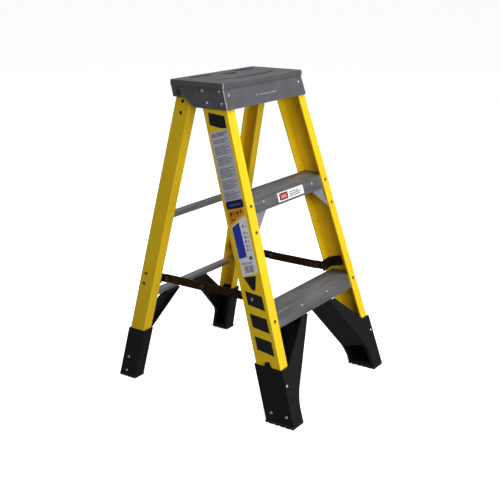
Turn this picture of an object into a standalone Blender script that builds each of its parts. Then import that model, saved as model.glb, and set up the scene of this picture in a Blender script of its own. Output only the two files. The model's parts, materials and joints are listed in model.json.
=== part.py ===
"""A small platform step ladder: two splayed front rails with two steps, a hinged rear frame, a moulded
top cap that doubles as a platform, and two-bar spreaders on each side.

Metres, +Z up. The origin is at the middle of the footprint, on the floor. The steps face -Y, and +X is
to the right of a person who climbs. Each rail has a frame of its own: its origin where the outer front
edge of the rail meets the floor, X across the ladder, Y along the rail's depth and Z up the rail.
"""

import math

import bmesh
import bpy
from mathutils import Euler, Matrix, Vector

# Overall layout
OVERALL_HEIGHT = 0.870
RAIL_TOP_HALF_WIDTH = 0.1851
SPLAY = math.radians(4.29)
FRONT_LEAN = math.radians(17.18)
REAR_LEAN = math.radians(12.43)
REAR_FOOT_INSET = 0.0055
STEP_PITCH = 0.2925
CLEARANCE = 0.0003

# Rails: moulded channels, open towards the middle of the ladder
FRONT_DEPTH = 0.0754
FRONT_FLANGE = 0.0333
REAR_DEPTH = 0.0488
REAR_FLANGE = 0.0322
RAIL_WALL = 0.0036
RAIL_CORNER = 0.0030

# Rear hinge, from the front rail's outer front edge at the top of the ladder
HINGE_BACK = 0.1325
HINGE_DROP = 0.0310
HINGE_INSET = 0.0350
REAR_RAIL_ABOVE_HINGE = 0.0120
REAR_WEB_HOLES = ((0.0966, 0.8140), (0.1024, 0.7830))
REAR_WEB_HOLE_RADIUS = 0.0042
HINGE_PIN_RADIUS = 0.0045
HINGE_HEAD_RADIUS = 0.0090
HINGE_HEAD_HEIGHT = 0.0022
HINGE_TAIL_RADIUS = 0.0065
HINGE_WASHER_RADIUS = 0.0080
HINGE_WASHER_GAP = 0.0010

# Top cap
CAP_WALL = 0.0030
CAP_TOP = 0.0060
CAP_SKIRT_FRONT = 0.0680
CAP_SKIRT_REAR = 0.0450
CAP_SKIRT_STEP = 0.0290
CAP_SKIRT_FLAT = 0.1060
CAP_REAR_LIP = 0.0240
CAP_DEPTH = 0.1727
CAP_REAR_SLOPE = 0.0100
CAP_RIM_HEIGHT = 0.0150
CAP_RIM_PROUD = 0.0021
CAP_RIM_FRONT = 0.0102
CAP_RIM_EDGE = 0.0025
CAP_BOSS_RADIUS = 0.0110
CAP_BOSS_PROUD = 0.0012
RAIL_BELOW_CAP = 0.0016
CAP_BOSS_ROOT = 0.0005

# Square core pockets in the cap's side walls, one behind each rivet, and a square key hole
CAP_POCKET = 0.0058
CAP_POCKET_DEPTH = 0.0013
CAP_POCKET_BEHIND = 0.0082
CAP_KEY = (-0.0036, 0.8280)

# Recesses in the platform: (middle, distance from the rear edge, half length, half width)
WELL_DEPTH = 0.0045
WELL_ROUND = 0.95
REAR_WELL = (0.1000, 0.0300, 0.0420, 0.0110)
FRONT_WELL_FROM_REAR = 0.1120
FRONT_WELL_HALF_LENGTH = 0.1450
FRONT_WELL_HALF_WIDTH = 0.0090
FRONT_WELL_BOW = 0.0160
MIDDLE_WELL = (0.0, 0.0520, 0.0300, 0.0150)

# Steps: extruded aluminium channels with the tread on top
TREAD_THICKNESS = 0.0024
APRON_HEIGHT = 0.0390
APRON_THICKNESS = 0.0022
TREAD_RIBS = 9
TREAD_RIB_HEIGHT = 0.0008
TREAD_RIB_WIDTH = 0.0024

# Knee braces under the upper step
BRACE_THICKNESS = 0.0020
BRACE_REACH = 0.0560
BRACE_DROP = 0.0500
BRACE_LAP = 0.0320
BRACE_FOOT = 0.0160

# Rear horizontals: angle bars with the flange on top
REAR_BAR_THICKNESS = 0.0022
REAR_BAR_FLANGE = 0.0220
REAR_BAR_UPPER_HEIGHT = 0.0260
REAR_BAR_LOWER_HEIGHT = 0.0285
REAR_BAR_UPPER_DROP = 0.0850
REAR_BAR_LOWER_DROP = 0.0300

# Boots with their struts, and the pads under them
PAD_HEIGHT = 0.0080
PAD_PROUD = 0.0016
PAD_GROOVE_DEPTH = 0.0025
PAD_GROOVE_WIDTH = 0.0040
PAD_GROOVES = 5
BOOT_TOP = 0.1520
BOOT_FLOOR = 0.0060
BOOT_WALL = 0.0025
BOOT_FRONT_WALL = 0.0045
BOOT_LINER = 0.0020
BOOT_WINDOW_TOP = 0.0880
BOOT_TAB_HEIGHT = 0.0130
BOOT_TAB_FOOT = 0.0210
BOOT_TAB_TIP = 0.0120
FRONT_BOOT_TOE = 0.0130
REAR_BOOT_TOE = 0.0030
FRONT_STRUT_REACH = 0.1390
FRONT_STRUT_TOP = 0.0270
FRONT_STRUT_HEEL = 0.0595
FRONT_STRUT_RADIUS = 0.1400
REAR_STRUT_REACH = 0.1600
REAR_STRUT_TOP = 0.0710
REAR_STRUT_HEEL = 0.0620
REAR_STRUT_RADIUS = 0.0700
REAR_STRUT_DEPTH = 0.0120
STRUT_WALL = 0.0035
STRUT_REACH_PAST = 0.1000
STRUT_POCKET_FLOOR = 0.0206
TONGUE_HEIGHT = 0.0240
TONGUE_THICKNESS = 0.0050
TONGUE_LEDGE = 0.0060

# Spreaders: flat bars and the straps that hold them
BAR_WIDTH = 0.0240
BAR_THICKNESS = 0.0030
BAR_PLANE = 0.1765
BAR_GAP = 0.0003
BAR_END_ROUND = 0.999
SPREADER_ABOVE_STEP = 0.0190
FRONT_PIVOT_BEHIND = 0.0140
REAR_PIVOT_AHEAD = 0.0100
FRONT_BAR_SHARE = 0.5660
STRAP_THICKNESS = 0.0030
STRAP_HEIGHT = 0.0300
FRONT_STRAP_LEG = 0.0400
REAR_STRAP_LEG = 0.0300

# Rivets
RIVET_RADIUS = 0.0024
RIVET_HEAD_RADIUS = 0.0046
RIVET_HEAD_HEIGHT = 0.0018
RIVET_TAIL_RADIUS = 0.0036
RIVET_TAIL_HEIGHT = 0.0016
PIVOT_RADIUS = 0.0032
PIVOT_HEAD_RADIUS = 0.0062
RIVET_SIDES = 16
FLANGE_RIVET_INSET = 0.0180
CAP_SIDE_RIVETS = ((0.0290, 0.8460), (-0.0246, 0.8480), (0.0129, 0.8154), (-0.0345, 0.8159))
CAP_FRONT_RIVET_Z = 0.8370
BRACE_TOP_RIVET_Z = 0.5620
BRACE_FOOT_RIVET_Z = 0.4960
STEP_RIVET_Z = 0.2710
BRACE_APRON_RIVET = (0.1240, 0.5600)

RIGHT, LEFT = 1, -1
SIDES = {"right": RIGHT, "left": LEFT}
PAST = 0.1000
LAP = 0.0010
FAR = 1.0  # past the end of anything that a cutter trims


class Rail:
    """One pair of rails: where they stand, how they slope and the size of their channel."""

    def __init__(self, foot_x, foot_y, lean, depth, flange):
        self.foot_x = foot_x
        self.foot_y = foot_y
        self.lean = lean
        self.depth = depth
        self.flange = flange

    def frame(self, side):
        """Matrix of the rail's own frame."""
        turn = Euler((self.lean, -side * SPLAY, 0)).to_matrix().to_4x4()
        return Matrix.Translation((side * self.foot_x, self.foot_y, 0)) @ turn

    def x(self, z):
        """Outer face of the web at a height."""
        return self.foot_x - z * math.tan(SPLAY)

    def y(self, z):
        """Outer front edge at a height."""
        return self.foot_y - z * math.tan(self.lean) / math.cos(SPLAY)

    def slope(self):
        """Lean of the rail's face along a line that is level across the ladder."""
        return math.atan(math.tan(self.lean) / math.cos(SPLAY))

    def level_frame(self):
        """Matrix of a frame that leans with the rail but keeps its X level."""
        return Matrix.Translation((0, self.foot_y, 0)) @ Matrix.Rotation(self.slope(), 4, "X")

    def up(self, z, depth=0.0):
        """Z in the level frame of a point at a height and a depth behind the rail's face."""
        return (z - depth * math.sin(self.slope())) / math.cos(self.slope())

    def level_depth(self):
        """Depth of the channel along a level line."""
        return self.depth / math.cos(self.lean)

    def at(self, x, z, depth=0.0):
        """Turns a point at some depth behind the front flange, given by its distance from the ladder's
        middle and its height, into the rail frame's X and Z, on the right-hand rail."""
        across = (x - self.foot_x + z * math.tan(SPLAY)) * math.cos(SPLAY)
        up = (z - across * math.sin(SPLAY)) / math.cos(SPLAY) - depth * math.sin(self.lean)
        return across, up / math.cos(self.lean)


def rail_pair():
    """Both pairs of rails, placed so that the footprint is centred on the origin."""
    foot_x = RAIL_TOP_HALF_WIDTH + OVERALL_HEIGHT * math.tan(SPLAY)
    hinge_z = OVERALL_HEIGHT - HINGE_DROP
    front_run = OVERALL_HEIGHT * math.tan(FRONT_LEAN) / math.cos(SPLAY)
    rear_run = hinge_z * math.tan(REAR_LEAN) / math.cos(SPLAY)
    spread = front_run + HINGE_BACK - HINGE_INSET / math.cos(REAR_LEAN) + rear_run
    front_out = (BOOT_FRONT_WALL + CLEARANCE) / math.cos(FRONT_LEAN)
    rear_out = (REAR_DEPTH + BOOT_WALL + CLEARANCE) / math.cos(REAR_LEAN)
    lean_difference = (math.tan(FRONT_LEAN) - math.tan(REAR_LEAN)) / math.cos(SPLAY)
    front_y = -(spread + rear_out - front_out + PAD_HEIGHT * lean_difference) / 2
    front = Rail(foot_x, front_y, -FRONT_LEAN, FRONT_DEPTH, FRONT_FLANGE)
    rear = Rail(foot_x - REAR_FOOT_INSET, front_y + spread, REAR_LEAN, REAR_DEPTH, REAR_FLANGE)
    return front, rear


FRONT, REAR = rail_pair()
HINGE_Y = FRONT.y(OVERALL_HEIGHT) + HINGE_BACK
HINGE_Z = OVERALL_HEIGHT - HINGE_DROP
STEP_Z = {"upper": OVERALL_HEIGHT - STEP_PITCH, "lower": OVERALL_HEIGHT - 2 * STEP_PITCH}
PIVOT_Z = STEP_Z["lower"] + SPREADER_ABOVE_STEP
FRONT_PIVOT_Y = FRONT.y(PIVOT_Z) + FRONT.level_depth() + FRONT_PIVOT_BEHIND
REAR_PIVOT_Y = REAR.y(PIVOT_Z) - REAR_PIVOT_AHEAD
MID_PIVOT_Y = FRONT_PIVOT_Y + FRONT_BAR_SHARE * (REAR_PIVOT_Y - FRONT_PIVOT_Y)


def level_bore(rail):
    """How far the flange's inner edge lies along Y from its outer edge, because a leaning channel that
    is also splayed shows its flange a little out of square."""
    return rail.flange * math.tan(SPLAY) * math.tan(rail.lean)


def new_collection(name):
    collection = bpy.data.collections.new(name)
    bpy.context.scene.collection.children.link(collection)
    return collection


def material(name, colour, roughness, metallic=0.0):
    """Principled material with one colour."""
    made = bpy.data.materials.new(name)
    made.use_nodes = True
    shader = made.node_tree.nodes["Principled BSDF"]
    shader.inputs["Base Color"].default_value = (*colour, 1)
    shader.inputs["Roughness"].default_value = roughness
    shader.inputs["Metallic"].default_value = metallic
    return made


for old in list(bpy.data.objects):
    bpy.data.objects.remove(old, do_unlink=True)

PARTS = new_collection("platform_step_ladder")
HELPERS = new_collection("cutters_and_joins")
BORES = {}
FIBREGLASS = material("yellow_fibreglass", (0.87, 0.68, 0.01), 0.45)
CAP_PLASTIC = material("grey_cap_plastic", (0.09, 0.09, 0.095), 0.55)
BOOT_PLASTIC = material("black_boot_plastic", (0.012, 0.012, 0.014), 0.5)
PAD_RUBBER = material("black_pad_rubber", (0.01, 0.01, 0.01), 0.85)
ALUMINIUM = material("step_aluminium", (0.45, 0.45, 0.46), 0.4, 1.0)
BRACE_STEEL = material("brace_steel", (0.35, 0.34, 0.38), 0.4, 1.0)
BAR_STEEL = material("dark_spreader_steel", (0.045, 0.032, 0.024), 0.45, 0.8)
RIVET_STEEL = material("rivet_aluminium", (0.7, 0.7, 0.72), 0.3, 1.0)


# Shapes

def finished(bm):
    """Closed mesh from a bmesh, its points merged and its faces turned outwards."""
    bmesh.ops.remove_doubles(bm, verts=bm.verts, dist=1e-6)
    bmesh.ops.recalc_face_normals(bm, faces=bm.faces)
    mesh = bpy.data.meshes.new("shape")
    bm.to_mesh(mesh)
    bm.free()
    return mesh


def reading(mesh):
    bm = bmesh.new()
    bm.from_mesh(mesh)
    bpy.data.meshes.remove(mesh)
    return bm


def evaluated(data, modify=None):
    """Mesh of a curve, or of a mesh with a modifier, as Blender evaluates it."""
    holder = bpy.data.objects.new("holder", data)
    bpy.context.scene.collection.objects.link(holder)
    if modify:
        modify(holder)
    graph = bpy.context.evaluated_depsgraph_get()
    mesh = bpy.data.meshes.new_from_object(holder.evaluated_get(graph))
    bpy.data.objects.remove(holder, do_unlink=True)
    return mesh


def rounded(corners, steps=6):
    """Outline whose corners (x, y, radius) are rounded by arcs."""
    outline = []
    for index, (x, y, radius) in enumerate(corners):
        corner = Vector((x, y))
        if radius == 0:
            outline.append(corner)
            continue
        before = (Vector(corners[index - 1][:2]) - corner).normalized()
        after = (Vector(corners[(index + 1) % len(corners)][:2]) - corner).normalized()
        half = before.angle(after) / 2
        centre = corner + (before + after).normalized() * radius / math.sin(half)
        start = corner + before * radius / math.tan(half) - centre
        turn = start.angle_signed(corner + after * radius / math.tan(half) - centre)
        for step in range(steps + 1):
            spoke = start.copy()
            spoke.rotate(Matrix.Rotation(-turn * step / steps, 2))
            outline.append(centre + spoke)
    return outline


def prism(outline, low, high, axis, steps=6):
    """Flat outline filled and extruded between two stations along an axis. The outline's two
    coordinates are Y and Z for axis X, X and Z for axis Y, X and Y for axis Z."""
    points = rounded([(*corner, 0)[:3] for corner in outline], steps)
    curve = bpy.data.curves.new("outline", "CURVE")
    curve.dimensions = "2D"
    curve.fill_mode = "BOTH"
    curve.extrude = (high - low) / 2
    spline = curve.splines.new("POLY")
    spline.points.add(len(points) - 1)
    spline.use_cyclic_u = True
    for place, point in zip(spline.points, points):
        place.co = (point.x, point.y, 0, 1)
    bm = reading(evaluated(curve))
    bpy.data.curves.remove(curve)
    order = {"X": (2, 0, 1), "Y": (0, 2, 1), "Z": (0, 1, 2)}[axis]
    for vert in bm.verts:
        local = (vert.co.x, vert.co.y, vert.co.z + (low + high) / 2)
        vert.co = [local[index] for index in order]
    return finished(bm)


def box(low, high):
    bm = bmesh.new()
    low, high = Vector(low), Vector(high)
    size = Matrix.Diagonal((high - low).to_4d())
    size[3][3] = 1
    bmesh.ops.create_cube(bm, size=1, matrix=Matrix.Translation((low + high) / 2) @ size)
    return finished(bm)


def turned(profile, sides):
    """Solid turned round Z from a profile of (radius, height) points, top to bottom."""
    mesh = bpy.data.meshes.new("profile")
    edges = [(index, index + 1) for index in range(len(profile) - 1)]
    mesh.from_pydata([(radius, 0, height) for radius, height in profile], edges, [])

    def screw(holder):
        modifier = holder.modifiers.new("turn", "SCREW")
        modifier.steps = modifier.render_steps = sides
        modifier.use_merge_vertices = True
        modifier.merge_threshold = 1e-5

    solid = reading(evaluated(mesh, screw))
    bpy.data.meshes.remove(mesh)
    return finished(solid)


def trimmed(mesh, point, outward):
    """Mesh cut off by a plane and closed there."""
    bm = reading(mesh)
    everything = bm.verts[:] + bm.edges[:] + bm.faces[:]
    cut = bmesh.ops.bisect_plane(bm, geom=everything, dist=1e-7, plane_co=point, plane_no=outward,
                                 clear_outer=True)
    rim = [item for item in cut["geom_cut"] if isinstance(item, bmesh.types.BMEdge)]
    bmesh.ops.edgenet_fill(bm, edges=rim)
    return finished(bm)


def trimmed_level(mesh, frame, z, upward=True):
    """Mesh in a frame of its own, cut off by a level plane."""
    inverse = frame.inverted()
    outward = inverse.to_3x3() @ Vector((0, 0, 1 if upward else -1))
    return trimmed(mesh, inverse @ Vector((0, 0, z)), outward)


# Objects

def piece(name, mesh, finish, frame=None, hinge=None):
    """One named part. A part that moves with a hinge has that empty for a parent."""
    made = bpy.data.objects.new(name, mesh)
    mesh.name = name
    mesh.materials.clear()
    mesh.materials.append(finish)
    PARTS.objects.link(made)
    if hinge:
        made.parent = hinge
        made.matrix_parent_inverse = Matrix.Translation(-hinge.location)
    made.matrix_basis = frame or Matrix()
    return made


def helper(mesh, frame=None):
    made = bpy.data.objects.new("helper", mesh)
    HELPERS.objects.link(made)
    made.matrix_world = frame or Matrix()
    made.hide_render = True
    made.display_type = "WIRE"
    return made


def boolean(target, operation, mesh, frame=None):
    modifier = target.modifiers.new(operation.lower(), "BOOLEAN")
    modifier.operation = operation
    modifier.solver = "EXACT"
    modifier.object = helper(mesh, frame)


def smooth(target, angle=math.radians(35)):
    """Shades round faces smooth and keeps the edges sharp."""
    target.data.shade_smooth()
    target.data.set_sharp_from_angle(angle=angle)


def hinge_empty(name, place):
    """Empty on a joint's axis, the parent of what the joint moves."""
    empty = bpy.data.objects.new(name, None)
    empty.location = place
    PARTS.objects.link(empty)
    return empty


def along(direction):
    return Vector(direction).to_track_quat("Z", "Y").to_matrix().to_4x4()


def bore(target, frame, radius, top, bottom):
    """Notes a round hole to be drilled through a piece."""
    drill = reading(turned([(0, top), (radius, top), (radius, bottom), (0, bottom)], RIVET_SIDES))
    drill.transform(frame)
    BORES.setdefault(target, []).append(finished(drill))


def pocket(target, side, y, z):
    """Notes a shallow square pocket to be cut in the cap's side wall."""
    face, half = cap_half_width(z, CAP_WALL), CAP_POCKET / 2
    low, high = sorted((side * (face - CAP_POCKET_DEPTH), side * (face + CAP_POCKET)))
    BORES.setdefault(target, []).append(box((low, y - half, z - half), (high, y + half, z + half)))


def drill_bores():
    """Cuts all the holes of each piece at once."""
    for target, drills in BORES.items():
        together = bmesh.new()
        for drill in drills:
            together.from_mesh(drill)
            bpy.data.meshes.remove(drill)
        boolean(target, "DIFFERENCE", finished(together))


def rivet(name, seat, outward, grip, pierced, radius=RIVET_RADIUS, head=RIVET_HEAD_RADIUS,
          head_height=RIVET_HEAD_HEIGHT, tail=RIVET_TAIL_RADIUS, tail_height=RIVET_TAIL_HEIGHT,
          hinge=None):
    """Rivet with its head on seat, and its hole through each piece that it passes."""
    foot = -grip - CLEARANCE
    profile = [(0, head_height), (0.55 * head, 0.88 * head_height), (0.9 * head, 0.5 * head_height),
               (head, CLEARANCE), (radius, CLEARANCE), (radius, foot), (tail, foot),
               (tail, foot - 0.6 * tail_height), (0.7 * tail, foot - tail_height),
               (0, foot - tail_height)]
    frame = Matrix.Translation(seat) @ along(outward)
    made = piece(name, turned(profile, RIVET_SIDES), RIVET_STEEL, frame, hinge)
    smooth(made)
    for target in pierced:
        bore(target, frame, radius + CLEARANCE, head, foot - tail)
    return made


# Rails

def rail(name, line, side, finish_top, hinge=None):
    """Channel with rounded outer corners."""
    wall, flange, depth = RAIL_WALL, line.flange, line.depth
    section = [(0, 0, RAIL_CORNER), (-flange, 0), (-flange, wall), (-wall, wall), (-wall, depth - wall),
               (-flange, depth - wall), (-flange, depth), (0, depth, RAIL_CORNER)]
    section = [(side * corner[0], *corner[1:]) for corner in section]
    frame = line.frame(side)
    length = prism(section, -PAST, OVERALL_HEIGHT + 2 * PAST, "Z", steps=3)
    length = trimmed_level(length, frame, PAD_HEIGHT + BOOT_FLOOR + 2 * CLEARANCE, upward=False)
    made = piece(name, finish_top(length, frame), FIBREGLASS, frame, hinge)
    smooth(made, math.radians(40))
    return made


def under_cap(mesh, frame):
    return trimmed_level(mesh, frame, OVERALL_HEIGHT - CAP_TOP - RAIL_BELOW_CAP)


def above_hinge(mesh, frame):
    """Square end, short enough to turn under the cap."""
    hinge = frame.inverted() @ Vector((frame.translation.x, HINGE_Y, HINGE_Z))
    return trimmed(mesh, (0, 0, hinge.z + REAR_RAIL_ABOVE_HINGE), (0, 0, 1))


# Steps and bars across the ladder

def between_webs(mesh, line):
    """Piece across the ladder, its ends cut to the splay of the rails."""
    for side in SIDES.values():
        frame = line.frame(side)
        point = frame @ Vector((-side * (RAIL_WALL + CLEARANCE), 0, 0))
        mesh = trimmed(mesh, point, frame.to_3x3() @ Vector((side, 0, 0)))
    return mesh


def step_front(z):
    """Outer face of a step's front apron, just behind the front flange."""
    return FRONT.y(z) + RAIL_WALL / math.cos(FRONT_LEAN) + CLEARANCE - level_bore(FRONT)


def step_rear(z):
    return FRONT.y(z) + (FRONT_DEPTH - RAIL_WALL) / math.cos(FRONT_LEAN) - CLEARANCE


def step(name, top):
    """Extruded tread with an apron front and back, and low ribs along the tread."""
    bottom = top - APRON_HEIGHT
    under = top - TREAD_THICKNESS
    apron = APRON_THICKNESS / math.cos(FRONT_LEAN)
    tread = []
    first, last = step_front(top) + 2 * TREAD_RIB_WIDTH, step_rear(top) - 2 * TREAD_RIB_WIDTH
    for rib in range(TREAD_RIBS):
        centre = first + (last - first) * (rib + 0.5) / TREAD_RIBS
        tread += [(centre - TREAD_RIB_WIDTH / 2, top - TREAD_RIB_HEIGHT),
                  (centre - TREAD_RIB_WIDTH / 3, top), (centre + TREAD_RIB_WIDTH / 3, top),
                  (centre + TREAD_RIB_WIDTH / 2, top - TREAD_RIB_HEIGHT)]
    face = top - TREAD_RIB_HEIGHT
    section = [(step_front(bottom), bottom), (step_front(face), face, TREAD_THICKNESS), *tread,
               (step_rear(face), face, TREAD_THICKNESS), (step_rear(bottom), bottom),
               (step_rear(bottom) - apron, bottom), (step_rear(under) - apron, under),
               (step_front(under) + apron, under), (step_front(bottom) + apron, bottom)]
    made = piece(name, between_webs(prism(section, -FAR, FAR, "X", steps=3), FRONT), ALUMINIUM)
    smooth(made)
    return made


def bar_rear(z):
    """Rear face of a bar's plate, just ahead of the rear flange."""
    return REAR.y(z) + (REAR_DEPTH - RAIL_WALL) / math.cos(REAR_LEAN) - CLEARANCE - level_bore(REAR)


def rear_bar(name, top, height, hinge):
    """Angle bar across the rear rails, its flange on top and pointing forwards."""
    bottom, under = top - height, top - REAR_BAR_THICKNESS
    plate = REAR_BAR_THICKNESS / math.cos(REAR_LEAN)
    section = [(bar_rear(bottom), bottom), (bar_rear(top), top, REAR_BAR_THICKNESS),
               (bar_rear(top) - REAR_BAR_FLANGE, top), (bar_rear(top) - REAR_BAR_FLANGE, under),
               (bar_rear(under) - plate, under), (bar_rear(bottom) - plate, bottom)]
    mesh = between_webs(prism(section, -FAR, FAR, "X", steps=3), REAR)
    made = piece(name, mesh, ALUMINIUM, hinge=hinge)
    smooth(made)
    return made


# Knee braces

def knee_brace(name, side):
    """Plate behind the upper step's apron, running down to a foot on the rail's front flange."""
    apron_bottom = STEP_Z["upper"] - APRON_HEIGHT
    heel, top = apron_bottom - BRACE_DROP, apron_bottom + BRACE_LAP
    outer = FRONT.x(top) - RAIL_WALL - 2 * RAIL_CORNER
    inner = FRONT.x(heel) - FRONT_FLANGE
    tip = FRONT.x(STEP_Z["upper"]) - FRONT_FLANGE - BRACE_REACH
    seat = RAIL_WALL + CLEARANCE - level_bore(FRONT)
    behind = seat + APRON_THICKNESS + CLEARANCE
    plate = [(outer, heel), (inner, heel), (tip, apron_bottom), (tip, top), (outer, top)]
    plate = [(side * x, FRONT.up(z, behind)) for x, z in plate]
    made = piece(name, prism(plate, behind, behind + BRACE_THICKNESS, "Y"), BRACE_STEEL,
                 FRONT.level_frame())
    foot = [(outer, heel), (inner, heel), (inner, heel + BRACE_FOOT), (outer, heel + BRACE_FOOT)]
    foot = [(side * x, FRONT.up(z, behind)) for x, z in foot]
    boolean(made, "UNION", prism(foot, seat, behind + BRACE_THICKNESS / 2, "Y"), FRONT.level_frame())
    return made


# Boots and pads

def strut_outline(line, side, plan):
    """Outline of a boot's strut in the rail frame."""
    toe, bend, tip, slope = strut_line(line, plan)
    middle, collar = line.foot_x - line.flange / 2, line.x(BOOT_TOP) - line.flange
    corners = [(toe, -PAST), (*bend, plan["radius"]), (*tip, 0), (tip.x + plan["top_width"], tip.y),
               (collar, BOOT_TOP), (middle, BOOT_TOP), (middle, -PAST)]
    points = [(*line.at(*corner[:2], plan["plane"]), *corner[2:]) for corner in corners]
    return [(side * point[0], *point[1:]) for point in points]


def strut_line(line, plan, inset=0.0):
    """Foot, bend, tip and direction of the strut's lower edge, or of a line inside it."""
    toe = line.foot_x - line.flange - plan["toe"]
    tip = Vector((line.x(plan["top"]) - line.flange - plan["reach"], plan["top"]))
    slope = Vector((tip.x - toe, tip.y - plan["heel"])).normalized()
    tip += inset * Vector((slope.y, -slope.x))
    bend = tip + slope * (toe + inset - tip.x) / slope.x
    return toe + inset, bend, tip, slope


def strut_pocket(line, side, plan):
    """Outline of the space inside the strut's lower wall, running out past its top."""
    toe, bend, tip, slope = strut_line(line, plan, STRUT_WALL)
    end = tip + slope * STRUT_REACH_PAST
    corners = [(toe, -PAST, 0), (*bend, plan["radius"] + STRUT_WALL), (*end, 0)]
    points = [(*line.at(*corner[:2], plan["plane"]), corner[2]) for corner in corners]
    points += [(-plan["pocket_edge"], points[-1][1], 0), (-plan["pocket_edge"], points[0][1], 0)]
    return [(side * point[0], *point[1:]) for point in points]


def boot(name, line, side, plan, hinge=None):
    """Moulded shoe round the foot of a rail, with a strut to the crossbar above."""
    frame = line.frame(side)
    outer, inner = CLEARANCE + BOOT_WALL, -line.flange - plan["toe"]
    collar = line.at(line.x(BOOT_TOP), BOOT_TOP)[1]
    sleeve = [(side * outer, -PAST), (side * outer, collar + PAST), (side * inner, collar + PAST),
              (side * inner, -PAST)]
    if plan["toe"] > REAR_BOOT_TOE:
        sleeve[2:3] = [(-side * line.flange, collar + PAST), (-side * line.flange, collar),
                       (side * inner, plan["heel"])]
    front, rear = -CLEARANCE - BOOT_FRONT_WALL, line.depth + CLEARANCE + BOOT_WALL
    shell = trimmed_level(prism(sleeve, front, rear, "Y"), frame, BOOT_TOP)
    shell = trimmed_level(shell, frame, PAD_HEIGHT + CLEARANCE, upward=False)
    made = piece(name, shell, BOOT_PLASTIC, frame, hinge)
    arm = prism(strut_outline(line, side, plan), plan["low"], rear, "Y", steps=8)
    boolean(made, "UNION", trimmed_level(arm, frame, PAD_HEIGHT + CLEARANCE, upward=False), frame)
    if plan["toe"] > REAR_BOOT_TOE:
        foot, tip, level = BOOT_TAB_FOOT / 2, BOOT_TAB_TIP / 2, collar + line.depth * math.tan(FRONT_LEAN) / 2
        tab = [(-foot, level - BOOT_TAB_HEIGHT), (-foot, level), (-tip, level + BOOT_TAB_HEIGHT),
               (tip, level + BOOT_TAB_HEIGHT), (foot, level), (foot, level - BOOT_TAB_HEIGHT)]
        low, high = sorted((side * CLEARANCE, side * outer))
        boolean(made, "UNION", prism([(line.depth / 2 + y, z) for y, z in tab], low, high, "X"), frame)
    hollow_boot(made, line, side, plan)

    # Tongue behind the crossbar, on a ledge under it
    tip = line.x(plan["top"]) - line.flange - plan["reach"]
    low, high = sorted((side * (tip + TONGUE_LEDGE), side * (tip + plan["top_width"] - TONGUE_LEDGE)))
    back, (start, end) = plan["tongue"] + TONGUE_THICKNESS, (plan["ledge"], plan["tongue"])
    foot, top = plan["top"] - TONGUE_LEDGE, plan["top"] + TONGUE_HEIGHT
    section = [(start, foot), (back, foot), (back, top), (end, top), (end, plan["top"] - CLEARANCE),
               (start, plan["top"] - CLEARANCE)]
    section = [(depth, line.up(z, depth)) for depth, z in section]
    boolean(made, "UNION", prism(section, low, high, "X"), line.level_frame())
    smooth(made)
    return made


def hollow_boot(made, line, side, plan):
    """Cuts the rail's socket, the space inside the rail, the strut's pocket and the window in its wall."""
    frame, floor = line.frame(side), PAD_HEIGHT + BOOT_FLOOR + CLEARANCE
    gap, wall, flange, depth = CLEARANCE, RAIL_WALL, -line.flange - CLEARANCE, line.depth
    socket = [(gap, -gap), (flange, -gap), (flange, wall + gap), (-wall - gap, wall + gap),
              (-wall - gap, depth - wall - gap), (flange, depth - wall - gap), (flange, depth + gap),
              (gap, depth + gap)]
    inside, beyond = wall + gap + BOOT_LINER, flange - plan["open"]
    hollow = [(-inside, inside), (-inside, depth - inside), (beyond, depth - inside), (beyond, inside)]
    for outline, level in ((socket, floor), (hollow, floor + gap)):
        cutter = prism([(side * x, y) for x, y in outline], -PAST, BOOT_TOP + PAST, "Z")
        boolean(made, "DIFFERENCE", trimmed_level(cutter, frame, level, upward=False), frame)
    pocket = prism(strut_pocket(line, side, plan), plan["pocket_low"], depth + gap, "Y", steps=8)
    pocket = trimmed_level(pocket, frame, PAD_HEIGHT + STRUT_POCKET_FLOOR, upward=False)
    boolean(made, "DIFFERENCE", pocket, frame)
    low, high = sorted((side * (flange - BOOT_LINER), side * (flange - 2 * plan["toe"])))
    window = box((low, inside + gap, -PAST), (high, depth - inside - gap, BOOT_WINDOW_TOP))
    boolean(made, "DIFFERENCE", trimmed_level(window, frame, floor + 2 * gap, upward=False), frame)


def pad(name, line, side, toe, hinge=None):
    """Rubber sole with grooves across it."""
    inner = line.foot_x - line.flange - toe - PAD_PROUD
    outer = line.foot_x + CLEARANCE + BOOT_WALL + PAD_PROUD
    front = line.y(PAD_HEIGHT) - (BOOT_FRONT_WALL + CLEARANCE) / math.cos(line.lean)
    rear = line.y(PAD_HEIGHT) + (line.depth + BOOT_WALL + CLEARANCE) / math.cos(line.lean)
    section = [(front, PAD_HEIGHT), (rear, PAD_HEIGHT), (rear, 0)]
    for groove in reversed(range(PAD_GROOVES)):
        middle = front + (rear - front) * (groove + 0.5) / PAD_GROOVES
        section += [(middle + PAD_GROOVE_WIDTH / 2, 0), (middle + PAD_GROOVE_WIDTH / 4, PAD_GROOVE_DEPTH),
                    (middle - PAD_GROOVE_WIDTH / 4, PAD_GROOVE_DEPTH), (middle - PAD_GROOVE_WIDTH / 2, 0)]
    section += [(front, 0)]
    low, high = sorted((side * inner, side * outer))
    return piece(name, prism(section, low, high, "X"), PAD_RUBBER, hinge=hinge)


# Top cap

def cap_half_width(z, extra=0.0):
    """Half the distance between the cap's side walls, which follow the splay of the front rails."""
    return FRONT.x(z) + CLEARANCE + extra


def splayed(mesh, extra):
    """Moves a prism's two ends out to the cap's side walls."""
    for vert in mesh.vertices:
        vert.co.x = math.copysign(cap_half_width(vert.co.z, extra), vert.co.x)
    return mesh


def well(middle, from_rear, half_length, half_width, rear):
    """Shallow recess with round ends, longer across the ladder."""
    corners = [(middle + half_length * a, rear - from_rear + half_width * b, half_width * WELL_ROUND)
               for a, b in ((-1, -1), (1, -1), (1, 1), (-1, 1))]
    return prism(corners, OVERALL_HEIGHT - WELL_DEPTH, OVERALL_HEIGHT + PAST, "Z", steps=5)


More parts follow.
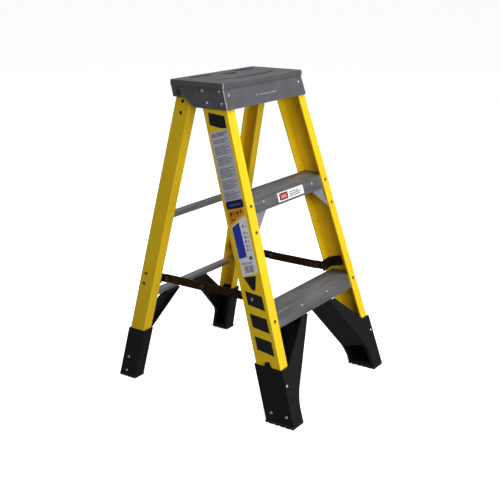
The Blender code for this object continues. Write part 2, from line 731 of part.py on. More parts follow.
def front_well(rear):
    """Long recess that bows towards the front, narrowing to its ends."""
    outline = []
    for sign in (1, -1):
        for step in range(17):
            share = sign * (step / 8 - 1)
            bow = FRONT_WELL_BOW * (1 - share ** 2)
            half = FRONT_WELL_HALF_WIDTH * (1 - share ** 2) ** 0.5
            if abs(share) == 1 and sign == -1:
                continue
            y = rear - FRONT_WELL_FROM_REAR - bow + sign * half
            outline.append((share * FRONT_WELL_HALF_LENGTH, y))
    return prism(outline, OVERALL_HEIGHT - WELL_DEPTH, OVERALL_HEIGHT + PAST, "Z")


def top_cap():
    """Moulded cap: a rimmed platform on a skirt that takes the four rails."""
    top = OVERALL_HEIGHT
    bottom, shoulder, rim = top - CAP_SKIRT_FRONT, top - CAP_SKIRT_REAR, top - CAP_RIM_HEIGHT
    inside = -CLEARANCE / math.cos(FRONT_LEAN)
    outside = inside - CAP_WALL / math.cos(FRONT_LEAN)
    platform_front = FRONT.y(top) - CAP_RIM_FRONT
    platform_rear = platform_front + CAP_DEPTH
    skirt = [(FRONT.y(bottom) + outside, bottom),
             (FRONT.y(bottom) + outside + CAP_SKIRT_FLAT, bottom),
             (FRONT.y(bottom) + outside + CAP_SKIRT_FLAT + CAP_SKIRT_STEP, shoulder),
             (platform_rear - CAP_REAR_SLOPE, shoulder), (platform_rear - LAP, rim + LAP),
             (FRONT.y(rim + LAP) + outside, rim + LAP)]
    made = piece("top_cap", splayed(prism(skirt, -1, 1, "X"), CAP_WALL), CAP_PLASTIC)
    half = cap_half_width(rim, CAP_WALL + CAP_RIM_PROUD)
    slab = reading(box((-half, platform_front, rim), (half, platform_rear, top)))
    edges = [edge for edge in slab.edges if max(vert.co.z for vert in edge.verts) > top - LAP]
    bmesh.ops.bevel(slab, geom=edges, offset=CAP_RIM_EDGE, segments=3, profile=0.5, affect="EDGES",
                    material=-1)
    boolean(made, "UNION", finished(slab))
    under, lip = top - CAP_TOP, top - CAP_REAR_LIP
    hollow = [(FRONT.y(bottom - PAST) + inside, bottom - PAST), (FRONT.y(under) + inside, under),
              (platform_rear - CAP_WALL, under), (platform_rear - CAP_WALL, lip),
              (platform_rear + PAST, lip), (platform_rear + PAST, bottom - PAST)]
    for side in SIDES.values():
        low, high = sorted((side * (cap_half_width(HINGE_Z) - CAP_BOSS_ROOT),
                            side * (cap_half_width(HINGE_Z, CAP_WALL) + CAP_BOSS_PROUD)))
        boss = turned([(0, high), (CAP_BOSS_RADIUS, high), (CAP_BOSS_RADIUS, low), (0, low)], RIVET_SIDES)
        boolean(made, "UNION", boss, Matrix.Translation((0, HINGE_Y, HINGE_Z)) @ along((1, 0, 0)))
    boolean(made, "DIFFERENCE", splayed(prism(hollow, -1, 1, "X"), 0.0))
    wells = [(sign * REAR_WELL[0], *REAR_WELL[1:]) for sign in (-1, 1)] + [MIDDLE_WELL]
    for sizes in wells:
        boolean(made, "DIFFERENCE", well(*sizes, platform_rear))
    boolean(made, "DIFFERENCE", front_well(platform_rear))
    smooth(made)
    return made


# Spreaders

def bar(name, start, end, layer, hinge):
    """Flat bar with round ends between two pivots, in a plane across which the pivots run."""
    low, high = sorted(layer)
    run = end - start
    length, half = run.length, BAR_WIDTH / 2
    outline = [(-half, -half, half * BAR_END_ROUND), (-half, half, half * BAR_END_ROUND),
               (length + half, half, half * BAR_END_ROUND), (length + half, -half, half * BAR_END_ROUND)]
    tilt = Matrix.Translation((0, start.x, start.y)) @ Matrix.Rotation(math.atan2(run.y, run.x), 4, "X")
    made = piece(name, prism(outline, low, high, "X", steps=6), BAR_STEEL, tilt, hinge)
    smooth(made)
    return made


def strap(name, line, side, pivot_y, layer, at_rear, hinge=None):
    """Bent strap: a leg on the web, a leg along a flange, and an ear that holds the pivot."""
    frame = line.frame(side)
    low, high = sorted(layer)
    seat = RAIL_WALL + CLEARANCE
    mark = frame.inverted() @ Vector((side * line.x(PIVOT_Z), line.y(PIVOT_Z), PIVOT_Z))
    near, far = ((line.depth - seat - STRAP_THICKNESS, line.depth - seat) if at_rear
                 else (seat, seat + STRAP_THICKNESS))
    level = mark.z + (math.tan(line.lean) * (near + far) / 2 * -1 if at_rear else 0)
    reach = (line.x(PIVOT_Z) - (abs(low) + abs(high)) / 2) * math.cos(SPLAY)
    half = STRAP_HEIGHT / 2
    web = (near - FRONT_STRAP_LEG, far) if at_rear else (near, min(far + REAR_STRAP_LEG, line.depth - seat))
    xs = sorted((-side * seat, -side * (seat + STRAP_THICKNESS)))
    made = piece(name, box((xs[0], web[0], level - half), (xs[1], web[1], level + half)), BAR_STEEL,
                 frame, hinge)
    xs = sorted((-side * (seat + STRAP_THICKNESS / 2), -side * reach))
    boolean(made, "UNION", box((xs[0], near, level - half), (xs[1], far, level + half)), frame)
    bend = frame @ Vector((-side * reach, (near + far) / 2, level))
    round_end = BAR_WIDTH / 2
    toward = 1 if pivot_y > bend.y else -1
    ear = [(bend.y - toward * STRAP_THICKNESS, PIVOT_Z - round_end),
           (pivot_y + toward * round_end, PIVOT_Z - round_end, round_end * BAR_END_ROUND),
           (pivot_y + toward * round_end, PIVOT_Z + round_end, round_end * BAR_END_ROUND),
           (bend.y - toward * STRAP_THICKNESS, PIVOT_Z + round_end)]
    boolean(made, "UNION", prism(ear, low, high, "X", steps=6))
    smooth(made)
    return made


def stub(name, side, y, seat, outboard, pierced, hinge):
    """Half of the middle pivot: a headed stub that ends flush with the bar that holds it."""
    head = RIVET_HEAD_HEIGHT
    profile = [(0, head), (0.55 * PIVOT_HEAD_RADIUS, 0.88 * head), (0.9 * PIVOT_HEAD_RADIUS, 0.5 * head),
               (PIVOT_HEAD_RADIUS, CLEARANCE), (PIVOT_RADIUS, CLEARANCE), (PIVOT_RADIUS, -BAR_THICKNESS),
               (0, -BAR_THICKNESS)]
    frame = Matrix.Translation((side * seat, y, PIVOT_Z)) @ along((side if outboard else -side, 0, 0))
    made = piece(name, turned(profile, RIVET_SIDES), RIVET_STEEL, frame, hinge)
    smooth(made)
    bore(pierced, frame, PIVOT_RADIUS + CLEARANCE, 2 * BAR_THICKNESS, -2 * BAR_THICKNESS)
    return made


# Assembly: each side's rails, boots, pads and spreaders

rear_hinge = hinge_empty("rear_hinge_axis", (0, HINGE_Y, HINGE_Z))
cap = top_cap()
steps = {name: step("step_" + name, top) for name, top in STEP_Z.items()}
FRONT_PLAN = {"toe": FRONT_BOOT_TOE, "reach": FRONT_STRUT_REACH, "top_width": FRONT_STRUT_TOP,
              "heel": FRONT_STRUT_HEEL, "radius": FRONT_STRUT_RADIUS, "plane": 0.0,
              "top": STEP_Z["lower"] - APRON_HEIGHT - CLEARANCE, "low": -CLEARANCE - BOOT_FRONT_WALL,
              "open": BOOT_LINER, "pocket_low": -CLEARANCE, "ledge": LAP,
              "pocket_edge": FRONT_FLANGE + CLEARANCE + BOOT_LINER,
              "tongue": RAIL_WALL + APRON_THICKNESS + 2 * CLEARANCE - level_bore(FRONT)}
REAR_PLAN = {"toe": REAR_BOOT_TOE, "reach": REAR_STRUT_REACH, "top_width": REAR_STRUT_TOP,
             "heel": REAR_STRUT_HEEL, "radius": REAR_STRUT_RADIUS, "plane": REAR_DEPTH,
             "top": STEP_Z["lower"] - REAR_BAR_LOWER_DROP - REAR_BAR_LOWER_HEIGHT - CLEARANCE,
             "low": REAR_DEPTH + CLEARANCE + BOOT_WALL - REAR_STRUT_DEPTH, "open": 2 * REAR_BOOT_TOE,
             "pocket_low": REAR_DEPTH - 2 * REAR_STRUT_DEPTH, "ledge": REAR_DEPTH - REAR_STRUT_DEPTH,
             "pocket_edge": REAR_FLANGE / 2,
             "tongue": REAR_DEPTH - RAIL_WALL - level_bore(REAR)}

for word, side in SIDES.items():
    front_rail = rail("front_rail_" + word, FRONT, side, under_cap)
    rear_rail = rail("rear_rail_" + word, REAR, side, above_hinge, rear_hinge)
    brace = knee_brace("knee_brace_" + word, side)
    front_boot = boot("front_boot_" + word, FRONT, side, FRONT_PLAN)
    rear_boot = boot("rear_boot_" + word, REAR, side, REAR_PLAN, rear_hinge)
    pad("front_pad_" + word, FRONT, side, FRONT_BOOT_TOE)
    pad("rear_pad_" + word, REAR, side, REAR_BOOT_TOE, rear_hinge)

    # Spreader, from the middle outwards: front bar, then rear bar and front strap, then rear strap
    outboard = (BAR_PLANE - BAR_THICKNESS, BAR_PLANE)
    inboard = (BAR_PLANE - 2 * BAR_THICKNESS - BAR_GAP, BAR_PLANE - BAR_THICKNESS - BAR_GAP)
    outmost = (BAR_PLANE + BAR_GAP, BAR_PLANE + BAR_GAP + STRAP_THICKNESS)
    front_hinge = hinge_empty("front_bar_axis_" + word, (side * BAR_PLANE, FRONT_PIVOT_Y, PIVOT_Z))
    back_hinge = hinge_empty("rear_bar_axis_" + word, (side * BAR_PLANE, REAR_PIVOT_Y, PIVOT_Z))
    ends = [Vector((y, PIVOT_Z)) for y in (FRONT_PIVOT_Y, MID_PIVOT_Y, REAR_PIVOT_Y)]
    front_bar = bar("spreader_front_" + word, ends[0], ends[1], [side * x for x in inboard], front_hinge)
    back_bar = bar("spreader_rear_" + word, ends[1], ends[2], [side * x for x in outboard], back_hinge)
    front_strap = strap("front_strap_" + word, FRONT, side, FRONT_PIVOT_Y,
                        [side * x for x in outboard], True)
    rear_strap = strap("rear_strap_" + word, REAR, side, REAR_PIVOT_Y, [side * x for x in outmost],
                       False, rear_hinge)
    grip = 2 * BAR_THICKNESS + BAR_GAP
    rivet("front_pivot_" + word, (side * BAR_PLANE, FRONT_PIVOT_Y, PIVOT_Z), (side, 0, 0), grip,
          (front_strap, front_bar), radius=PIVOT_RADIUS, head=PIVOT_HEAD_RADIUS, tail=PIVOT_HEAD_RADIUS)
    rivet("rear_pivot_" + word, (side * outmost[1], REAR_PIVOT_Y, PIVOT_Z), (side, 0, 0), grip,
          (rear_strap, back_bar), radius=PIVOT_RADIUS, head=PIVOT_HEAD_RADIUS, tail=PIVOT_HEAD_RADIUS,
          hinge=rear_hinge)
    stub("middle_pivot_front_" + word, side, MID_PIVOT_Y, inboard[0], False, front_bar, front_hinge)
    stub("middle_pivot_rear_" + word, side, MID_PIVOT_Y, outboard[1], True, back_bar, back_hinge)

    # Rear hinge: pin through the cap's side wall, a washer and the rear rail's web
    seat = cap_half_width(HINGE_Z, CAP_WALL) + CAP_BOSS_PROUD
    web_inner = REAR.x(HINGE_Z) - RAIL_WALL - HINGE_TAIL_RADIUS * math.tan(SPLAY)
    washer_outer = cap_half_width(HINGE_Z) - HINGE_WASHER_GAP
    washer_inner = REAR.x(HINGE_Z) + HINGE_WASHER_GAP
    ring = [(HINGE_PIN_RADIUS + CLEARANCE, washer_outer), (HINGE_WASHER_RADIUS, washer_outer),
            (HINGE_WASHER_RADIUS, washer_inner), (HINGE_PIN_RADIUS + CLEARANCE, washer_inner),
            (HINGE_PIN_RADIUS + CLEARANCE, washer_outer)]
    place = Matrix.Translation((0, HINGE_Y, HINGE_Z)) @ along((side, 0, 0))
    smooth(piece("hinge_washer_" + word, turned(ring, RIVET_SIDES), RIVET_STEEL, place))
    rivet("hinge_pin_" + word, (side * seat, HINGE_Y, HINGE_Z), (side, 0, 0), seat - web_inner,
          (cap, rear_rail), radius=HINGE_PIN_RADIUS, head=HINGE_HEAD_RADIUS,
          head_height=HINGE_HEAD_HEIGHT, tail=HINGE_TAIL_RADIUS)

    # Cap rivets: four through each side, one through the front
    web_out = Vector((side * math.cos(SPLAY), 0, math.sin(SPLAY)))
    for y, z in REAR_WEB_HOLES:
        bore(rear_rail, Matrix.Translation((side * REAR.x(z), y, z)) @ along(web_out),
             REAR_WEB_HOLE_RADIUS, RAIL_WALL, -2 * RAIL_WALL)
    for y, z in [(y + CAP_POCKET_BEHIND, z) for y, z in CAP_SIDE_RIVETS] + [CAP_KEY]:
        pocket(cap, side, y, z)
    for index, (y, z) in enumerate(CAP_SIDE_RIVETS):
        rivet(f"cap_rivet_{index + 1}_{word}", (side * cap_half_width(z, CAP_WALL), y, z), web_out,
              CAP_WALL + CLEARANCE + RAIL_WALL, (cap, front_rail))
    face_out = FRONT.level_frame().to_3x3() @ Vector((0, -1, 0))
    y = FRONT.y(CAP_FRONT_RIVET_Z) - (CLEARANCE + CAP_WALL) / math.cos(FRONT_LEAN)
    x = FRONT.x(CAP_FRONT_RIVET_Z) - FLANGE_RIVET_INSET
    rivet("cap_front_rivet_" + word, (side * x, y, CAP_FRONT_RIVET_Z), face_out,
          CAP_WALL + RAIL_WALL + 3 * CLEARANCE, (cap, front_rail))

    # Step rivets through the front flange, and those that hold the braces and struts to the aprons
    apron_grip = APRON_THICKNESS + CLEARANCE - level_bore(FRONT)
    flange_rivets = (("brace_top_rivet_", BRACE_TOP_RIVET_Z, BRACE_THICKNESS + CLEARANCE,
                      (steps["upper"], brace)),
                     ("brace_foot_rivet_", BRACE_FOOT_RIVET_Z, BRACE_THICKNESS + CLEARANCE, (brace,)),
                     ("step_rivet_", STEP_RIVET_Z, 0.0, (steps["lower"],)))
    for label, z, more, through in flange_rivets:
        x = FRONT.x(z) - FLANGE_RIVET_INSET
        rivet(label + word, (side * x, FRONT.y(z), z), face_out, RAIL_WALL + apron_grip + more + CLEARANCE,
              (front_rail, *through))
    rivet("brace_apron_rivet_" + word, (side * BRACE_APRON_RIVET[0], step_front(BRACE_APRON_RIVET[1]),
                                        BRACE_APRON_RIVET[1]), face_out,
          APRON_THICKNESS + BRACE_THICKNESS + 2 * CLEARANCE, (steps["upper"], brace))

rear_bar("rear_bar_upper", STEP_Z["upper"] - REAR_BAR_UPPER_DROP, REAR_BAR_UPPER_HEIGHT, rear_hinge)
rear_bar("rear_bar_lower", STEP_Z["lower"] - REAR_BAR_LOWER_DROP, REAR_BAR_LOWER_HEIGHT, rear_hinge)
drill_bores()
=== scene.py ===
"""Looks of a small folding platform step ladder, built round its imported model.

The rails are pultruded fibreglass, the cap and boots are moulded plastic, the steps and rear bars are
extruded aluminium and the braces and spreaders are pressed steel. Every sub-assembly is a class that
builds and dresses its own pieces. Sizes are in millimetres unless a name says otherwise.
"""

import json
import logging
import math
from dataclasses import dataclass
from enum import Enum
from typing import Iterable, Mapping, Sequence

import bmesh
import bpy
from mathutils import Euler, Matrix, Vector

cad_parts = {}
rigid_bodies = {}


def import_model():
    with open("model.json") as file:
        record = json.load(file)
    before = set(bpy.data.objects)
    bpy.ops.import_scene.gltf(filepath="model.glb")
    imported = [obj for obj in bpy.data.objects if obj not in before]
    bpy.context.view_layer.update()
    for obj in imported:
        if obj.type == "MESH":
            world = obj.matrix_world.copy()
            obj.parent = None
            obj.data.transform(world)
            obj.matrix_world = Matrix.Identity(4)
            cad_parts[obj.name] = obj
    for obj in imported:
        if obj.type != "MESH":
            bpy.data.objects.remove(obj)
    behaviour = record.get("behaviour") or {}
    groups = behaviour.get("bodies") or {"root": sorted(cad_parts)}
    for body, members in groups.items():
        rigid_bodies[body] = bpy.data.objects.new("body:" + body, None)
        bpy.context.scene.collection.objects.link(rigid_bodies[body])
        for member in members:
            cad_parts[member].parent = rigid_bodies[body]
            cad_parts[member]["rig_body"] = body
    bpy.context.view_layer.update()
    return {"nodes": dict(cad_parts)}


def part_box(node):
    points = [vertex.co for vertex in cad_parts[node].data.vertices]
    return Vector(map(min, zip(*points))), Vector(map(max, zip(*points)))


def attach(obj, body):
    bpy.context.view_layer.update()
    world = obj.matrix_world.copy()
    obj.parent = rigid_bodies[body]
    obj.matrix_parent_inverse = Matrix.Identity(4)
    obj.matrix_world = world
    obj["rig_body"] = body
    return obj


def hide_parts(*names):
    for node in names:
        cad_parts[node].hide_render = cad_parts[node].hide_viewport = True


LOG = logging.getLogger("step_ladder")
MM = 0.001
# Distance, in metres, under which two corners are one.
WELD = 0.00001
# Facets that meet at less than FLAT are one flat face, edges over FOLD are eased, and edges under
# SMOOTH are shaded as a curve.
FLAT = math.radians(0.6)
FOLD = math.radians(28)
SMOOTH = math.radians(38)
# Shortest edge, in metres, that counts as a corner of a whole moulding.
LONG = 0.010
# A face looks one way if its normal has this much of it, and is large at this share of the largest.
FACING = 0.8
LARGE = 0.6

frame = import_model()


class Side(Enum):
    """Side of the ladder as a climber sees it."""

    LEFT = "left"
    RIGHT = "right"

    @property
    def outward(self) -> Vector:
        """Direction that points out of the ladder on this side."""
        return Vector((-1.0 if self is Side.LEFT else 1.0, 0.0, 0.0))


class Pattern(Enum):
    """Procedural texture that a layer of a finish is drawn with."""

    CLOUDS = "ShaderNodeTexNoise"
    CELLS = "ShaderNodeTexVoronoi"


def linear(colour: str) -> tuple[float, float, float, float]:
    """Turns an sRGB hex colour to linear light.

    Args:
        colour: Six hex digits, two each for red, green and blue.

    Returns:
        Red, green, blue and an alpha of one.
    """
    parts = [int(colour[start:start + 2], 16) / 255 for start in (0, 2, 4)]
    light = [part / 12.92 if part <= 0.04045 else ((part + 0.055) / 1.055) ** 2.4 for part in parts]
    return light[0], light[1], light[2], 1.0


def add_node(
    tree: bpy.types.NodeTree,
    kind: str,
    settings: Mapping[str, object] | None = None,
    links: Mapping[str, bpy.types.NodeSocket] | None = None,
) -> bpy.types.Node:
    """Adds one node to a tree.

    Args:
        tree: Node tree to add to.
        kind: Blender's name for the node type.
        settings: Values for its sockets, or for its own properties where no socket has that name.
        links: For each socket name, the output that feeds it.

    Returns:
        The new node.
    """
    node = tree.nodes.new(kind)
    for name, value in (settings or {}).items():
        if name in node.inputs:
            node.inputs[name].default_value = value
        else:
            setattr(node, name, value)
    for name, source in (links or {}).items():
        tree.links.new(source, node.inputs[name])
    return node


@dataclass(frozen=True)
class Layer:
    """One procedural pattern of a finish, with its real size in millimetres along its own axes."""

    size: tuple[float, float, float]
    pattern: Pattern = Pattern.CLOUDS
    detail: float = 2.0

    def draw(self, tree: bpy.types.NodeTree, turn: Sequence[float]) -> bpy.types.NodeSocket:
        """Adds the pattern to a tree.

        Args:
            tree: Node tree of the material.
            turn: Euler angles of the pattern's own axes.

        Returns:
            The output that runs from nought to one over the surface.
        """
        place = add_node(tree, "ShaderNodeTexCoord").outputs["Object"]
        scale = [side * MM for side in self.size]
        mapped = add_node(tree, "ShaderNodeMapping", {"vector_type": "TEXTURE", "Rotation": tuple(turn),
                                                      "Scale": scale}, {"Vector": place})
        texture = add_node(tree, self.pattern.value, {"Scale": 1.0, "Detail": self.detail},
                           {"Vector": mapped.outputs["Vector"]})
        return texture.outputs["Fac" if self.pattern is Pattern.CLOUDS else "Distance"]


@dataclass(frozen=True)
class Finish:
    """How a material looks: its two colours, its patterns and its gloss."""

    name: str
    dark: str
    light: str
    grain: Layer
    cast: Layer
    gloss: tuple[float, float]
    metallic: float = 0.0
    ior: float = 1.5
    relief: float = 0.0

    def material(self, turn: Sequence[float] = (0.0, 0.0, 0.0)) -> bpy.types.Material:
        """Makes the material.

        Args:
            turn: Euler angles of the axes that the patterns follow.

        Returns:
            A Principled material with its colour, roughness and relief drawn by the patterns.
        """
        made = bpy.data.materials.new(self.name)
        made.use_nodes = True
        tree = made.node_tree
        shader = tree.nodes["Principled BSDF"]
        shader.inputs["Metallic"].default_value = self.metallic
        shader.inputs["IOR"].default_value = self.ior
        grain, cast = self.grain.draw(tree, turn), self.cast.draw(tree, turn)
        both = add_node(tree, "ShaderNodeMath", {"operation": "ADD"})
        for socket, pattern in zip(both.inputs, (grain, cast)):
            tree.links.new(pattern, socket)
        ramp = add_node(tree, "ShaderNodeValToRGB", links={"Fac": add_node(
            tree, "ShaderNodeMapRange", {"From Min": 0.7, "From Max": 1.3},
            {"Value": both.outputs[0]}).outputs["Result"]})
        ramp.color_ramp.elements[0].color = linear(self.dark)
        ramp.color_ramp.elements[1].color = linear(self.light)
        tree.links.new(ramp.outputs["Color"], shader.inputs["Base Color"])
        rough = add_node(tree, "ShaderNodeMapRange", {"From Min": 0.7, "From Max": 1.3,
                                                      "To Min": self.gloss[0], "To Max": self.gloss[1]},
                         {"Value": both.outputs[0]})
        tree.links.new(rough.outputs["Result"], shader.inputs["Roughness"])
        if self.relief:
            bump = add_node(tree, "ShaderNodeBump", {"Distance": self.relief * MM}, {"Height": grain})
            tree.links.new(bump.outputs["Normal"], shader.inputs["Normal"])
        return made


# Pultruded polyester and glass: yellow right through, semi-gloss, with faint fibre print along the rail.
# The print is drawn 2 mm wide, coarser than the rovings, so that it shows.
FIBREGLASS = Finish("pultruded_yellow_fibreglass", "EFC410", "F9D516", Layer((2.0, 140.0, 2.0)),
                    Layer((35.0, 220.0, 35.0)), (0.42, 0.54), ior=1.45, relief=0.02)
# Polypropylene cap from a spark-eroded mould: an even fine grain that takes the shine off.
CAP_PLASTIC = Finish("moulded_grey_polypropylene", "515155", "5E5E62", Layer((2.2, 2.2, 2.2)),
                     Layer((40.0, 40.0, 40.0)), (0.40, 0.52), ior=1.49, relief=0.08)
# The floors of the cap's recesses, and the hinge pins and washers: the same plastic with a coarser texture,
# drawn darker as painted shade.
PAINTED_SHADE_PLASTIC = Finish("painted_shade_polypropylene", "2E2E30", "3A3A3D", Layer((1.8, 1.8, 1.8)),
                      Layer((14.0, 14.0, 14.0)), (0.6, 0.75), ior=1.45, relief=0.15)
# The cap's front corners, drawn pale as a painted highlight.
HIGHLIGHT_PLASTIC = Finish("painted_highlight_polypropylene", "9A9A9E", "B2B2B6", Layer((2.2, 2.2, 9.0)),
                         Layer((14.0, 14.0, 30.0)), (0.42, 0.6), ior=1.49)
# Boots from the same kind of mould in black, a little glossier.
BOOT_PLASTIC = Finish("moulded_black_copolymer", "060606", "0C0C0E", Layer((2.4, 2.4, 2.4)),
                      Layer((30.0, 30.0, 30.0)), (0.40, 0.54), ior=1.42, relief=0.08)
# Vulcanised rubber soles: dull and dusty.
SOLE_RUBBER = Finish("vulcanised_black_rubber", "0B0B0B", "161615", Layer((1.6, 1.6, 1.6)),
                     Layer((12.0, 12.0, 12.0)), (0.75, 0.9), ior=1.52, relief=0.1)
# Mill-finish extrusion: die lines along the step give a soft streaked sheen, drawn 1.6 mm apart to show.
STEP_METAL = Finish("mill_finish_aluminium", "8A8A8E", "A2A2A6", Layer((220.0, 1.6, 1.6)),
                    Layer((160.0, 24.0, 24.0)), (0.40, 0.56), metallic=1.0, relief=0.02)
# The rear bars: the same extrusion as the steps, drawn brighter as painted light.
LIT_BAR_METAL = Finish("painted_light_extruded_aluminium", "B2B2B6", "CACACE", Layer((220.0, 1.6, 1.6)),
                   Layer((160.0, 24.0, 24.0)), (0.42, 0.56), metallic=1.0, relief=0.02)
# Pressed steel with a bright zinc plate: a cool grey with a soft mottle.
BRACE_METAL = Finish("zinc_plated_steel", "A8A6B6", "C2C0D0", Layer((5.0, 5.0, 5.0), Pattern.CELLS),
                     Layer((18.0, 18.0, 18.0)), (0.38, 0.52), metallic=1.0)
# Spreader bars in yellow chromate over zinc that has gone dark: brown with gold where it catches light.
SPREADER_METAL = Finish("dark_chromated_steel", "2B2018", "4C3825", Layer((4.0, 4.0, 4.0)),
                        Layer((30.0, 22.0, 22.0)), (0.34, 0.5), metallic=0.8, relief=0.02)
# Set rivets: bright aluminium, a little scuffed by the tool.
RIVET_METAL = Finish("bright_set_aluminium", "B4B4B8", "D2D2D6", Layer((1.5, 1.5, 1.5)),
                     Layer((6.0, 6.0, 6.0)), (0.24, 0.38), metallic=1.0)
# Blind rivets that have gone dull.
DULL_METAL = Finish("weathered_rivet_aluminium", "4A4644", "6A645E", Layer((1.5, 1.5, 1.5)),
                    Layer((6.0, 6.0, 6.0)), (0.38, 0.52), metallic=1.0)
# Printed polyester film: flat ink under a satin face.
FILM = {
    name: Finish("printed_film_" + name, dark, light, Layer((3.0, 3.0, 3.0)), Layer((25.0, 25.0, 25.0)),
                 (0.34, 0.42), ior=1.46)
    for name, dark, light in (("silver", "BABCC6", "C8CAD4"), ("white", "E8E8EE", "F6F6FA"),
                              ("black", "121210", "1D1C19"), ("blue", "2A34A8", "343FBE"),
                              ("grey", "5E606C", "70727E"), ("red", "B23A3A", "C24848"),
                              ("orange", "D88C10", "E09A18"), ("pale", "C9B8B8", "D6C6C6"),
                              ("rust", "6E3410", "7C4018"),
                              ("ash", "88888C", "969699"))
}


def welded(node: str) -> bmesh.types.BMesh:
    """Copies a CAD node's shape with its triangles joined into whole flat faces.

    Args:
        node: Name of the CAD node.

    Returns:
        A new bmesh of the shape.
    """
    shape = bmesh.new()
    shape.from_mesh(frame["nodes"][node].data)
    bmesh.ops.remove_doubles(shape, verts=shape.verts, dist=WELD)
    bmesh.ops.dissolve_limit(shape, angle_limit=FLAT, verts=shape.verts, edges=shape.edges,
                             use_dissolve_boundaries=False)
    return shape


def add_piece(name: str, shape: bmesh.types.BMesh, body: str,
              materials: Iterable[bpy.types.Material]) -> bpy.types.Object:
    """Makes a piece from a bmesh and lets it ride on a body.

    Args:
        name: Name of the piece.
        shape: Its shape, in metres and in place. It is freed.
        body: CAD body that carries it.
        materials: Its materials, in the order of its faces' material numbers.

    Returns:
        The new object.
    """
    mesh = bpy.data.meshes.new(name)
    shape.to_mesh(mesh)
    shape.free()
    mesh.shade_smooth()
    mesh.set_sharp_from_angle(angle=SMOOTH)
    for material in materials:
        mesh.materials.append(material)
    made = bpy.data.objects.new(name, mesh)
    bpy.context.scene.collection.objects.link(made)
    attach(made, body)
    return made


def body_of(node: str) -> str:
    """Name of the CAD body that a node rides on."""
    return frame["nodes"][node]["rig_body"]


def is_front_corner(line: bmesh.types.BMEdge) -> bool:
    """Whether an edge is a long upright corner between a front face and a side face."""
    if not line.is_manifold or line.calc_length() < LONG:
        return False
    first, second = sorted(line.link_faces, key=lambda face: face.normal.y)
    return first.normal.y < -FACING and abs(second.normal.x) > FACING


def refine(node: str, edge: float, material: bpy.types.Material, highlight_width: float = 0.0,
           black_below: float = 0.0) -> bpy.types.Object:
    """Stands a copy with eased edges in for a CAD node.

    Args:
        node: Name of the CAD node.
        edge: Width of the eased edge, in millimetres.
        material: Finish of the piece.
        highlight_width: Width of the bevelled front corners, which take the piece's second finish as a
            painted highlight.
        black_below: Height up to which the piece takes its second finish, in metres.

    Returns:
        The piece that is shown in the node's place.
    """
    shape = welded(node)
    # The long front corners are bevelled into the second finish, which paints a highlight on the cap.
    if highlight_width:
        corners = [line for line in shape.edges if is_front_corner(line)]
        bmesh.ops.bevel(shape, geom=corners, offset=highlight_width * MM, segments=3, profile=0.5, affect="EDGES",
                        material=1, clamp_overlap=True)
    if black_below:
        bmesh.ops.bisect_plane(shape, geom=shape.verts[:] + shape.edges[:] + shape.faces[:],
                               plane_co=(0, 0, black_below), plane_no=(0, 0, 1))
        for face in shape.faces:
            face.material_index = int(face.calc_center_median().z < black_below)
    edges = [line for line in shape.edges if line.is_manifold and line.calc_face_angle() > FOLD]
    bmesh.ops.bevel(shape, geom=edges, offset=edge * MM, segments=2, profile=0.5, affect="EDGES",
                    material=-1, clamp_overlap=True)
    made = add_piece(node + "_finished", shape, body_of(node), [material])
    weigh = made.modifiers.new("flat_faces_stay_flat", "WEIGHTED_NORMAL")
    weigh.keep_sharp, weigh.weight = True, 100
    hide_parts(node)
    LOG.info("refined %s", node)
    return made


def dress(nodes: Iterable[str], material: bpy.types.Material) -> None:
    """Gives CAD nodes that stay as they are a finish of their own."""
    for node in nodes:
        held = frame["nodes"][node]
        if not held.material_slots:
            held.data.materials.append(material)
        held.material_slots[0].material = material
        LOG.info("dressed %s", node)


@dataclass(frozen=True)
class Face:
    """Flat face of a CAD node, with an origin at its lower left corner as seen from outside."""

    place: Matrix
    width: float
    height: float

    @classmethod
    def of(cls, node: str, out: Vector, up: Vector | None = None) -> "Face":
        """Finds the outermost of a node's large faces that look one way.

        Args:
            node: Name of the CAD node.
            out: Direction that the face looks.
            up: Direction of its height, or None for that of its longest edge.

        Returns:
            The face, its axes being across, up and out.
        """
        shape = welded(node)
        facing = [face for face in shape.faces if face.normal.dot(out) > FACING]
        share = LARGE * max(face.calc_area() for face in facing)
        large = [face for face in facing if face.calc_area() > share]
        found = max(large, key=lambda face: face.calc_center_median().dot(out))
        normal = found.normal.copy()
        if up is None:
            longest = max(found.edges, key=lambda line: line.calc_length())
            up = longest.verts[1].co - longest.verts[0].co
        up = (up - up.dot(normal) * normal).normalized()
        up = up if up.z >= 0 else -up
        across = up.cross(normal)
        points = [(vert.co.dot(across), vert.co.dot(up)) for vert in found.verts]
        low, high = (tuple(pick(axis) for axis in zip(*points)) for pick in (min, max))
        origin = low[0] * across + low[1] * up + found.calc_center_median().dot(normal) * normal
        place = Matrix((across, up, normal)).transposed().to_4x4()
        place.translation = origin
        shape.free()
        return cls(place, (high[0] - low[0]) / MM, (high[1] - low[1]) / MM)

    def turn(self) -> Euler:
        """Euler angles of the face's own axes."""
        return self.place.to_euler()

    def find(self, point: Vector) -> tuple[float, float]:
        """Where a point lies on the face, across and up in millimetres."""
        held = self.place.inverted() @ point
        return held.x / MM, held.y / MM

    def frame_at(self, across: float, up: float, out: float = 0.0) -> Matrix:
        """Frame of a point on the face, given in millimetres."""
        return self.place @ Matrix.Translation((across * MM, up * MM, out * MM))


